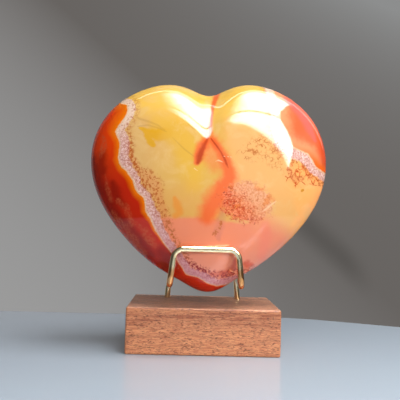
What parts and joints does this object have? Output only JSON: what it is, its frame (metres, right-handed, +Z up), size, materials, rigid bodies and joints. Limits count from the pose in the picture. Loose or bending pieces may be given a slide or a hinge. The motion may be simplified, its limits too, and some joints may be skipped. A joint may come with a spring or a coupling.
{
  "type": "polished carnelian heart on a stand",
  "caption": "Puffy heart cut from banded carnelian and polished, held in a brass wire cradle on a small wood block.",
  "frame": {"origin": "on the table under the middle of the wood block", "axes": "+Z up; +X to the right as the heart is looked at; the heart and the front of the block face -Y"},
  "size_m": [0.1032, 0.0448, 0.1162],
  "materials": {
    "stone": "high polish, banded yellow, orange and deep red with a lilac granular vein",
    "wood": "sanded and lightly oiled, fine open pores",
    "brass": "polished"
  },
  "bodies": {
    "root": {"carnelian_heart": "stone", "wood_block": "wood", "back_rest_wire": "brass", "front_cradle_wire": "brass"}
  },
  "joints": []
}
